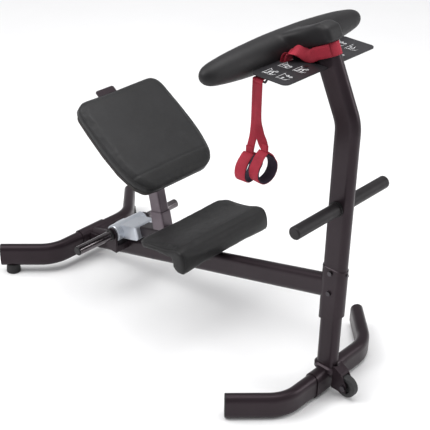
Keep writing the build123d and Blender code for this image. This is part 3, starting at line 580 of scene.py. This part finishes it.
def seat_cushion():
    """Slab with a rolled front edge, lofted across the machine, inflated and wrinkled."""
    top = [seat_at(s, up) for s, up in (
        (-0.008, -0.011), (-0.002, -0.0055), (0.022, -0.0055), (0.048, -0.0060), (0.085, -0.0052),
        (0.125, -0.0035), (0.160, -0.0015), (0.182, -0.0020), (0.199, -0.007))]
    nose = [nose_at(ahead, z) for ahead, z in (
        (-0.004, 0.358), (-0.002, 0.340), (-0.003, 0.318), (-0.010, 0.3035), (-0.024, 0.3015),
        (-0.037, 0.3045), (-0.046, 0.314))]
    under = [seat_at(s, up) for s, up in (
        (0.157, -0.0275), (0.140, -0.0235), (0.090, -0.0235), (0.040, -0.0235), (-0.002, -0.0215))]
    outline = catmull(top + nose + under, 4)
    middle = sum(outline, Vector()) / len(outline)
    rings = []
    stations = [-1.0, -0.992, -0.975, -0.945, -0.9, -0.82, -0.65, -0.45, -0.2, 0.0]
    stations += [-s for s in reversed(stations[:-1])]
    for s in stations:
        # the sides round over within the last tenth of the width
        edge = max(0.0, (abs(s) - 0.90) / 0.10)
        pull = 0.011 * (1 - math.sqrt(max(0.0, 1 - edge * edge)))
        ring = []
        for p in outline:
            inward = middle - p
            inward.y = 0
            q = p + inward.normalized() * min(pull, inward.length * 0.45)
            # rear corners are rounded in plan
            back = max(0.0, 1 - (p - SEAT_REAR).dot(SEAT_FWD) / 0.045)
            corner = 0.016 * back * back * edge
            ring.append(Vector((q.x + corner, SEAT_HALF * s, q.z)))
        rings.append(ring)
    obj = make("seat_upholstery", *skin(rings), SEAT_VINYL)
    voxels(obj, 0.0045)
    smooth(obj, 3)
    inflate(obj)
    smooth(obj, 4)
    # a soft dip along the sitting area, and faint wrinkles
    for v in obj.data.vertices:
        s = (v.co - SEAT_REAR).dot(SEAT_FWD)
        up = (v.co - SEAT_REAR).dot(SEAT_UP)
        if up > -0.016 and s < 0.2:
            dip = 0.0015 * math.exp(-((s - 0.075) / 0.05) ** 2) * (1 - (abs(v.co.y) / SEAT_HALF) ** 4)
            v.co -= SEAT_UP * dip
        v.co += v.normal * (noise.noise(v.co * 26.0) * 0.0006)
    subdivide(obj)
    done(obj, "carriage", "seat_cushion", slot="cushion")
    return obj


seat = seat_cushion()


def end_seam(obj, side):
    """Bead that runs round the cushion's end panel, lying on its surface."""
    tree = surface(obj)
    line = [seat_at(0.001, -0.004), seat_at(0.05, 0.002), seat_at(0.11, 0.004), seat_at(0.17, 0.006),
            seat_at(0.205, -0.002), nose_at(0.004, 0.350), nose_at(0.004, 0.322), nose_at(-0.004, 0.300),
            nose_at(-0.024, 0.295), nose_at(-0.044, 0.301), seat_at(0.155, -0.030), seat_at(0.12, -0.028),
            seat_at(0.05, -0.028), seat_at(0.002, -0.026), seat_at(-0.006, -0.014)]
    path = []
    for p in catmull(line + [line[0]], 10)[:-1]:
        target = Vector((p.x, side * (SEAT_HALF - 0.0075), p.z))
        hit, normal, _, _ = tree.find_nearest(target)
        path.append(hit + normal * 0.0004)
    side_name = "near" if side < 0 else "far"
    piping("seat_seam_" + side_name, relax(path, 3), 0.0014, SEAT_VINYL, "carriage", "cushion")


end_seam(seat, -1)
end_seam(seat, 1)


# ---- back cushion ----------------------------------------------------------------------------------
PAD_LEN = 0.3725                               # from the lower to the upper edge
PAD_REST = 0.0425                              # depth at which the pad rests on its board


def pad_at(x, y, depth):
    """Point x across, y up the face and depth behind it."""
    return PAD_LOW + Vector((0, x, 0)) + PAD_UP * y - PAD_NORMAL * depth


def pad_ring(grow):
    """Outline of the pad in its own plane, anticlockwise, with rounded corners, grown outwards."""
    right = [Vector((x, y, 0)) for x, y in (
        (0.104, 0.0), (0.125, 0.0035), (0.144, 0.0135), (0.156, 0.027), (0.168, 0.047), (0.1765, 0.078),
        (0.183, 0.112), (0.1865, 0.150), (0.187, 0.190), (0.186, 0.235), (0.1835, 0.285), (0.181, 0.322),
        (0.177, 0.345), (0.168, 0.3605), (0.154, 0.3695), (0.135, PAD_LEN))]
    left = [Vector((-p.x, p.y, 0)) for p in reversed(right)]
    top = [Vector((x, PAD_LEN, 0)) for x in (0.09, 0.045, 0.0, -0.045, -0.09)]
    low = [Vector((x, 0.0, 0)) for x in (-0.07, -0.035, 0.0, 0.035, 0.07)]
    ring = right + top + left + low
    n = len(ring)
    out = []
    for i in range(n):
        t = (ring[(i + 1) % n] - ring[i - 1]).normalized()
        out.append(ring[i] + Vector((t.y, -t.x, 0)) * grow)
    return out


def back_cushion():
    """Crowned pad, flat on its board, with one sewn line across the face near the lower edge."""
    stations = ((0.043, -0.020), (0.0432, -0.004), (0.0405, 0.0010), (0.034, 0.0030), (0.022, 0.0035),
                (0.012, 0.0025), (0.0065, -0.0005), (0.003, -0.007), (0.0015, -0.020), (0.001, -0.06))
    rings = [[pad_at(p.x, p.y, depth) for p in pad_ring(grow)] for depth, grow in stations]
    obj = make("back_upholstery", *skin(rings), BACK_VINYL)
    voxels(obj, 0.005)
    smooth(obj, 2)
    inflate(obj)
    smooth(obj, 5)
    for v in obj.data.vertices:
        rel = v.co - PAD_LOW
        y = rel.dot(PAD_UP)
        depth = -rel.dot(PAD_NORMAL)
        if depth < 0.012:
            wander = 0.0012 * math.sin(rel.y * 23.0 + 0.7)
            from_line = y - 0.062 - wander
            v.co -= PAD_NORMAL * (0.0016 * math.exp(-(from_line / 0.0035) ** 2))
        v.co += v.normal * noise.noise(v.co * 21.0 + Vector((3, 1, 2))) * 0.0006
        if depth > PAD_REST:
            v.co += PAD_NORMAL * (depth - PAD_REST)
    subdivide(obj)
    done(obj, "carriage", "back_cushion", slot="cushion")
    return obj


back = back_cushion()


def pad_seam(name, depth, grow, radius):
    """Bead round the pad's edge, lying on its surface."""
    tree = surface(back)
    ring = pad_ring(grow)
    path = []
    for p in catmull([pad_at(p.x, p.y, depth) for p in ring + [ring[0]]], 5)[:-1]:
        hit, normal, _, _ = tree.find_nearest(p)
        path.append(hit + normal * radius * 0.25)
    piping(name, relax(path, 2), radius, BACK_VINYL, "carriage", "cushion")


pad_seam("back_seam_rear", 0.037, 0.003, 0.0015)
pad_seam("back_seam_front", 0.0075, 0.003, 0.0011)


# ---- roll pad -----------------------------------------------------------------------------------------
SKIRT_LOW = 0.2275                             # the skirt's lower edge, up the leaning part


def roll_body():
    """Rings of the roll, thick in the middle and tapered to round ends."""
    profile = ((0.0, 0.0465), (0.080, 0.0455), (0.150, 0.0425), (0.225, 0.0375), (0.275, 0.0318),
               (0.300, 0.0275), (0.316, 0.0215), (0.326, 0.013), (0.3305, 0.004))
    half = catmull([Vector((y, r, 0)) for y, r in profile], 4)
    line = [(-p.x, p.y) for p in reversed(half)] + [(p.x, p.y) for p in half[1:]]
    return [[Vector((ROLL.x + r * math.cos(q), y, ROLL.z + r * math.sin(q))) for q in around(40)]
            for y, r in line]


def roll_limb():
    """Layers of the limb from the roll to the skirt round the column's top; it widens at the roll."""
    outline = [lean_point(0.226, 0.047), lean_point(0.226, -0.047), Vector((ROLL.x + 0.010, 0, ROLL.z - 0.031)),
               Vector((ROLL.x - 0.008, 0, ROLL.z)), Vector((ROLL.x + 0.004, 0, ROLL.z + 0.041)),
               lean_point(0.278, -0.030), lean_point(0.281, 0.020), lean_point(0.266, 0.045)]
    dense = []
    for i, a in enumerate(outline):
        b = outline[(i + 1) % len(outline)]
        dense += [a.lerp(b, k / 6) for k in range(6)]
    middle = sum(dense, Vector()) / len(dense)
    layers = []
    for y, inset in ((-0.031, 0.010), (-0.029, 0.004), (-0.024, 0.0),
                     (0.024, 0.0), (0.029, 0.004), (0.031, 0.010)):
        ring = []
        for p in dense:
            near_roll = max(0.0, 1 - (p.x - ROLL.x) / 0.075)
            q = p + (middle - p).normalized() * inset
            ring.append(Vector((q.x, y * (1 + 0.55 * near_roll ** 1.5), q.z)))
        layers.append(ring)
    return layers


def roll_pad():
    """Roll and limb fused into one moulding, with a skirt cut level at its lower edge."""
    points, faces = skin(roll_body())
    more, more_faces = skin(roll_limb())
    base = len(points)
    faces += [tuple(i + base for i in f) for f in more_faces]
    obj = make("roll_moulding", points + more, faces, ROLL_SKIN)
    voxels(obj, 0.0042)
    smooth(obj, 30)
    for v in obj.data.vertices:
        s = (v.co - lean_point(0)).dot(LEAN_UP)
        v.co += v.normal * (0.0024 + noise.noise(v.co * 14.0) * 0.0007)
        if v.co.x > ROLL.x + 0.05 and s < SKIRT_LOW:
            v.co += LEAN_UP * (SKIRT_LOW - s)
    subdivide(obj)
    done(obj, "frame", "roll_pad", slot="roll_skin")


roll_pad()


# ---- straps -------------------------------------------------------------------------------------------
BAND_S = 0.206                          # the neck band's place up the leaning part
WEB_THICK = 0.0024
RUN_Z = 1.040                           # height of the upper strap's run under the placard
LAYER = 0.003                           # one strap lies this far below the other
HANG_Y = -0.187                         # where the straps hang
HANG_X = (COL - 0.175, COL - 0.162)
TAIL_WIDTH = 0.025
SIDE = UP_W / 2 + 0.0005 + 0.0036 + 0.0004   # from the column's axis to a lead that lies on the band


def neck_band():
    """Loop of webbing round the column just under the roll's skirt."""
    flat = (UP_H - UP_W) / 2
    r = UP_W / 2 + 0.0018
    path = []
    for k in range(13):
        q = -math.pi / 2 + math.pi * k / 12
        path.append((flat + r * math.cos(q), r * math.sin(q)))
    path += [(flat * t, r) for t in (0.5, 0.0, -0.5)]
    for k in range(13):
        q = math.pi / 2 + math.pi * k / 12
        path.append((-flat + r * math.cos(q), r * math.sin(q)))
    path += [(flat * t, -r) for t in (-0.5, 0.0, 0.5)]
    line = [lean_point(BAND_S, f, y) for f, y in path]
    obj = ribbon("strap_neck_band", line, [LEAN_UP] * len(line), 0.037, WEB_THICK, RED_WEB, loop=True)
    done(obj, "frame", "strap_band", slot="webbing")


def lead(i):
    """From the neck band down through the notch in the placard's rear edge."""
    x = HANG_X[i] - 0.009
    foot = RUN_Z + 0.0025 - (1 - i) * LAYER
    if i == 1:
        pts = [lean_point(BAND_S, 0.031, -SIDE), lean_point(BAND_S, 0.008, -SIDE - 0.0006),
               lean_point(BAND_S, -0.016, -SIDE - 0.002), lean_point(BAND_S - 0.001, -0.038, -SIDE - 0.007),
               Vector((COL - 0.150, -0.044, 1.0825)), Vector((x + 0.0030, -0.055, 1.0735)),
               Vector((x + 0.0008, -0.060, 1.057)), Vector((x, -0.060, foot))]
        turn = [0.0, 0.0, 0.0, 0.12, 0.46, 0.82, 1.0, 1.0]
        width = [0.036, 0.036, 0.036, 0.036, 0.035, 0.034, 0.036, 0.036]
    else:
        behind = -UP_H / 2 - 0.005
        pts = [lean_point(BAND_S, behind + 0.0015, 0.014), lean_point(BAND_S, behind, 0.002),
               lean_point(BAND_S - 0.003, behind - 0.008, -0.014), Vector((COL - 0.166, -0.034, 1.0765)),
               Vector((x + 0.003, -0.050, 1.0680)), Vector((x, -0.060, 1.056)), Vector((x, -0.060, foot))]
        turn = [0.0, 0.0, 0.08, 0.45, 0.85, 1.0, 1.0]
        width = [0.036, 0.036, 0.035, 0.033, 0.034, 0.036, 0.036]
    line = catmull(pts, 8)
    wides, widths = [], []
    for k in range(len(line)):
        at = k / 8
        a = min(int(at), len(pts) - 2)
        t = at - a
        mix = turn[a] * (1 - t) + turn[a + 1] * t
        wides.append(LEAN_UP.lerp(Vector((0, 1, 0)), mix).normalized())
        widths.append(width[a] * (1 - t) + width[a + 1] * t)
    obj = ribbon(f"strap_lead_{i + 1}", line, wides, widths, 0.0022, RED_WEB)
    done(obj, "frame", "strap_leads", slot="webbing")


def hang(i):
    """Where strap i's hanging part is: x, y, the height of its run and the bend over the bar."""
    layer = (1 - i) * LAYER
    return HANG_X[i], HANG_Y + layer, RUN_Z - layer, 0.007 - layer


def under_run(i):
    """Flat along the placard's underside, then over the keeper bar."""
    x, y, z, r = hang(i)
    line = [Vector((x, -0.043 - 0.006 * k, z)) for k in range(24)]
    line = [p for p in line if p.y > y + r + 0.001]
    for k in range(9):
        q = math.pi / 2 * k / 8
        line.append(Vector((x, y + r - r * math.sin(q), z - r + r * math.cos(q))))
    line.append(Vector((x, y, z - r - 0.006)))
    obj = ribbon(f"strap_run_{i + 1}", line, [Vector((1, 0, 0))] * len(line), 0.0248, 0.0021, RED_WEB)
    done(obj, "frame", slot="webbing")


def spline_points(name, points):
    """Points of the smooth line that has these as its control points."""
    data = bpy.data.curves.new(name, "CURVE")
    data.dimensions = "3D"
    spline = data.splines.new("NURBS")
    spline.points.add(len(points) - 1)
    for p, co in zip(spline.points, points):
        p.co = (*co, 1.0)
    spline.order_u = 3
    spline.use_endpoint_u = True
    spline.resolution_u = 12
    obj = bpy.data.objects.new(name, data)
    SCENE.collection.objects.link(obj)
    bpy.context.view_layer.update()
    mesh = bpy.data.meshes.new_from_object(obj.evaluated_get(bpy.context.evaluated_depsgraph_get()))
    out = [v.co.copy() for v in mesh.vertices]
    bpy.data.objects.remove(obj)
    bpy.data.meshes.remove(mesh)
    return out


LOOPS = (
    {"top": Vector((COL - 0.178, -0.195, 0.827)), "drop": 0.084, "lean": -0.012, "turn": 6.0},
    {"top": Vector((COL - 0.132, -0.188, 0.845)), "drop": 0.096, "lean": -0.003, "turn": -4.0},
)
LOOP_WIDE = 0.078                       # across a hand loop's round part


def loop_axes(i):
    """Directions along the width of a hand loop's webbing and across its ring."""
    a = math.radians(LOOPS[i]["turn"])
    return Vector((math.cos(a), math.sin(a), 0)), Vector((-math.sin(a), math.cos(a), 0))


def hand_loop(i):
    """Teardrop of wide webbing with a soft lining inside."""
    top, drop, lean = LOOPS[i]["top"], LOOPS[i]["drop"], LOOPS[i]["lean"]
    along, across = loop_axes(i)
    rim = LOOP_WIDE / 2
    low = -drop + rim
    tangent = math.asin(rim / abs(low))

    def line_at(inset):
        """The teardrop's line, inset from its outside."""
        r = rim - inset
        out = []
        arc = math.pi / 2 + tangent
        start = Vector((0.0035, 0, -inset / math.sin(tangent) * 0.6 - 0.002))
        edge = Vector((r * math.cos(tangent), 0, low + r * math.sin(tangent)))
        for k in range(8):
            t = k / 8
            out.append(start.lerp(edge, t) + Vector((0.0022, 0, 0.0010)) * math.sin(math.pi * t))
        for k in range(29):
            q = tangent - 2 * arc * k / 28
            out.append(Vector((r * math.cos(q), 0, low + r * math.sin(q))))
        out += [Vector((-p.x, 0, p.z)) for p in reversed(out[:8])]
        world = []
        for p in out:
            sway = lean * min(1.0, -p.z / drop)
            world.append(top + across * (p.x + sway) + Vector((0, 0, p.z)))
        return world

    web_line = line_at(0.0012)
    web = ribbon(f"hand_loop_web_{i + 1}", web_line, [along] * len(web_line), 0.035, WEB_THICK, RED_WEB)
    done(web, "frame", f"hand_loop_{i + 1}", slot="webbing")
    pad_line = line_at(0.0040)[4:-4]
    n = len(pad_line)
    widths = [0.0370 - 0.006 * max(0.0, 1 - min(k, n - 1 - k) / 3) for k in range(n)]
    pad = ribbon(f"hand_loop_pad_{i + 1}", pad_line, [along] * n, widths, 0.0034, LINING)
    done(pad, "frame", f"loop_lining_{i + 1}", slot="lining")
    return [web, pad]


def tail(i):
    """Hanging strap from the keeper bar down to its hand loop, with the stitched patch at its foot."""
    x, y, z, r = hang(i)
    top = LOOPS[i]["top"]
    along = loop_axes(i)[0]
    start = Vector((x, y, z - r - 0.004))
    if i == 0:
        control = [start, Vector((x, y, 0.985)), Vector((x + 0.0005, y, 0.945)), Vector((x + 0.0005, y, 0.905)),
                   Vector((x - 0.001, y - 0.002, 0.868)), Vector((top.x + 0.001, top.y + 0.003, 0.848)),
                   top + Vector((0, 0.0005, 0.001))]
    else:
        control = [start, Vector((x, y, 0.985)), Vector((x - 0.0005, y + 0.001, 0.945)),
                   Vector((x + 0.001, y + 0.001, 0.912)), Vector((x + 0.007, y + 0.001, 0.884)),
                   Vector((x + 0.021, y, 0.866)), top + Vector((0, 0.0005, 0.001))]
    line = resample(spline_points(f"tail_route_{i + 1}", control), 0.006)
    n = len(line)
    wides = []
    for k in range(n):
        t = k / (n - 1)
        if i == 0:
            wides.append(Vector((1, 0, 0)).lerp(along, t).normalized())
        else:
            # it turns edge-on about the vertical on its way, and back before it meets the loop
            turn = 58 * math.exp(-((t - 0.80) / 0.15) ** 2) - 4.0 * t
            a = math.radians(turn)
            wides.append(Vector((math.cos(a), math.sin(a), 0)))
    obj = ribbon(f"strap_tail_web_{i + 1}", line, wides, TAIL_WIDTH, WEB_THICK, RED_WEB)
    done(obj, "frame", f"strap_tail_{i + 1}", slot="webbing")
    patch_line = [top + Vector((0, 0, 0.016 - 0.0035 * k)) for k in range(7)]
    patch = ribbon(f"strap_patch_{i + 1}", patch_line, [along] * 7, 0.0245, 0.0062, RED_WEB)
    done(patch, "frame", slot="webbing")
    length = sum((b - a).length for a, b in zip(line, line[1:]))
    return obj, line, length, patch


neck_band()
for index in (0, 1):
    lead(index)
    under_run(index)
    loop_pieces = hand_loop(index)
    strap, strap_line, strap_length, strap_patch = tail(index)


# ---- exercise chart: generic line figures on the placard ------------------------------------------------
def stroke(points, faces, line, width, z):
    """Adds a flat ribbon with square ends to the mesh lists, in the placard's plane."""
    n = len(line)
    base = len(points)
    for k, (x, y) in enumerate(line):
        ax, ay = line[max(0, k - 1)]
        bx, by = line[min(n - 1, k + 1)]
        d = math.hypot(bx - ax, by - ay) or 1.0
        nx, ny = -(by - ay) / d * width / 2, (bx - ax) / d * width / 2
        for side, height in ((1, z + 0.00022), (-1, z + 0.00022), (-1, z - 0.0001), (1, z - 0.0001)):
            points.append((x + nx * side, y + ny * side, height))
    for k in range(n - 1):
        a = base + 4 * k
        for m in range(4):
            q = (m + 1) % 4
            faces.append((a + m, a + q, a + 4 + q, a + 4 + m))
    faces.append((base, base + 3, base + 2, base + 1))
    e = base + 4 * (n - 1)
    faces.append((e, e + 1, e + 2, e + 3))


# a figure is a head and its limbs, in a unit square
FIGURES = (
    ((0.30, 0.72), (((0.33, 0.62), (0.46, 0.38), (0.70, 0.36), (0.82, 0.16)),
                    ((0.38, 0.55), (0.62, 0.62), (0.84, 0.60)))),
    ((0.52, 0.80), (((0.50, 0.70), (0.40, 0.42), (0.64, 0.34), (0.60, 0.12)),
                    ((0.48, 0.62), (0.72, 0.52), (0.80, 0.72)))),
    ((0.62, 0.52), (((0.54, 0.52), (0.30, 0.46), (0.22, 0.16)),
                    ((0.50, 0.50), (0.74, 0.30), (0.86, 0.34)),
                    ((0.30, 0.46), (0.48, 0.14)))),
    ((0.34, 0.78), (((0.36, 0.68), (0.42, 0.40), (0.68, 0.44), (0.86, 0.40)),
                    ((0.38, 0.62), (0.20, 0.46), (0.34, 0.36)))),
)
MACHINE = (((0.10, 0.06), (0.92, 0.06)), ((0.84, 0.06), (0.84, 0.66), (0.70, 0.86)),
           ((0.18, 0.06), (0.28, 0.30), (0.60, 0.28)))
CELL_X, CELL_Y = 0.038, 0.050
NEAR_Y, FAR_Y = -0.176, 0.052           # where the two pairs of columns start


def draw_figure(points, faces, figure, x0, y0, z):
    """One figure on its machine, in the cell whose corner is at x0, y0."""
    def place(line):
        return [(x0 + up * CELL_X, y0 + CELL_Y - along * CELL_Y) for along, up in line]

    (hx, hy), limbs = figure
    for line in MACHINE:
        stroke(points, faces, place(line), 0.0013, z)
    for line in limbs:
        stroke(points, faces, place(line), 0.0030, z)
    for r in (0.018, 0.052, 0.086):
        angles = (2 * math.pi * k / 14 for k in range(15))
        ring = place([(hx + r * math.cos(q) * 0.9, hy + r * math.sin(q)) for q in angles])
        stroke(points, faces, ring, 0.0022, z)
    angles = (0.5 + 0.9 * k / 8 for k in range(9))
    arc = place([(0.5 + 0.4 * math.cos(q), 0.55 + 0.38 * math.sin(q)) for q in angles])
    stroke(points, faces, arc, 0.0010, z)


def chart():
    """Two rows of four figures on the placard's top, as one mesh of raised strokes."""
    lo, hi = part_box("placard")
    points, faces = [], []
    for row in range(2):
        for column in range(4):
            y0 = (NEAR_Y if column < 2 else FAR_Y) + (column % 2) * 0.063
            x0 = lo[0] + 0.019 + row * 0.047
            if (row, column) == (1, 1):
                y0 += 0.004             # this figure stands a little clear of its neighbour
            draw_figure(points, faces, FIGURES[(row * 3 + column) % 4], x0, y0, hi[2])
    obj = make("placard_chart", points, faces, INK)
    obj.data.polygons.foreach_set("use_smooth", [False] * len(obj.data.polygons))
    done(obj, "frame", slot="placard")


chart()


# ---- stage, lights and camera ------------------------------------------------------------------------------
def stage():
    """Pale floor and an even pale surround."""
    half = 30.0
    floor = bpy.data.meshes.new("floor")
    floor.from_pydata([(-half, -half, 0), (half, -half, 0), (half, half, 0), (-half, half, 0)],
                      [], [(0, 1, 2, 3)])
    g = Graph("floor_pale")
    g.colour(g.ramp(g.noise(2.0, 3.0), (0.3, (0.90, 0.90, 0.90)), (0.7, (0.92, 0.92, 0.92))))
    g.set(Roughness=0.9, Specular_IOR_Level=0.1)
    floor.materials.append(g.material)
    obj = bpy.data.objects.new("floor", floor)
    SCENE.collection.objects.link(obj)
    world = bpy.data.worlds.new("studio")
    SCENE.world = world
    world.use_nodes = True
    background = world.node_tree.nodes["Background"]
    background.inputs["Color"].default_value = (0.98, 0.98, 1.0, 1.0)
    background.inputs["Strength"].default_value = 0.48
    SCENE.view_settings.view_transform = "Standard"


def soft_sun():
    """Wide, soft light from above that casts faint shadows."""
    data = bpy.data.lights.new("sun", "SUN")
    data.energy = 1.15
    data.angle = math.radians(50)
    obj = bpy.data.objects.new("sun", data)
    SCENE.collection.objects.link(obj)
    obj.rotation_euler = Vector((0.25, 0.35, -1)).to_track_quat("-Z", "Y").to_euler()


def area(name, at, target, size, power):
    data = bpy.data.lights.new(name, "AREA")
    data.shape = "RECTANGLE"
    data.size, data.size_y = size
    data.energy = power
    obj = bpy.data.objects.new(name, data)
    SCENE.collection.objects.link(obj)
    obj.location = at
    obj.rotation_euler = (Vector(target) - Vector(at)).to_track_quat("-Z", "Y").to_euler()


def camera():
    """At the photograph's viewing angle; back_dir points from the object to the camera."""
    azimuth, elevation, roll = math.radians(42.9277), math.radians(30.5298), math.radians(1.0492)
    back_dir = Vector((math.sin(azimuth) * math.cos(elevation), -math.cos(azimuth) * math.cos(elevation),
                       math.sin(elevation)))
    right = (-back_dir).cross(Vector((0, 0, 1))).normalized()
    up = right.cross(-back_dir)
    x_axis = right * math.cos(roll) + up * math.sin(roll)
    y_axis = up * math.cos(roll) - right * math.sin(roll)
    data = bpy.data.cameras.new("camera")
    data.sensor_width = 36.0
    data.lens = 87.55
    data.clip_end = 60.0
    obj = bpy.data.objects.new("camera", data)
    SCENE.collection.objects.link(obj)
    turn = Matrix((x_axis, y_axis, back_dir)).transposed().to_4x4()
    turn.translation = Vector((COL + 1.47607, -2.10706, 2.11464))
    obj.matrix_world = turn
    SCENE.camera = obj


stage()
soft_sun()
area("key", (-1.6, -2.2, 3.2), (0, 0, 0.5), (1.6, 1.6), 60.0)
area("top", (0.4, 0.6, 3.4), (0, 0, 0.4), (2.4, 1.4), 45.0)
area("side", (2.6, 1.8, 1.8), (0.2, 0, 0.6), (1.0, 1.8), 25.0)
camera()
bpy.context.view_layer.update()
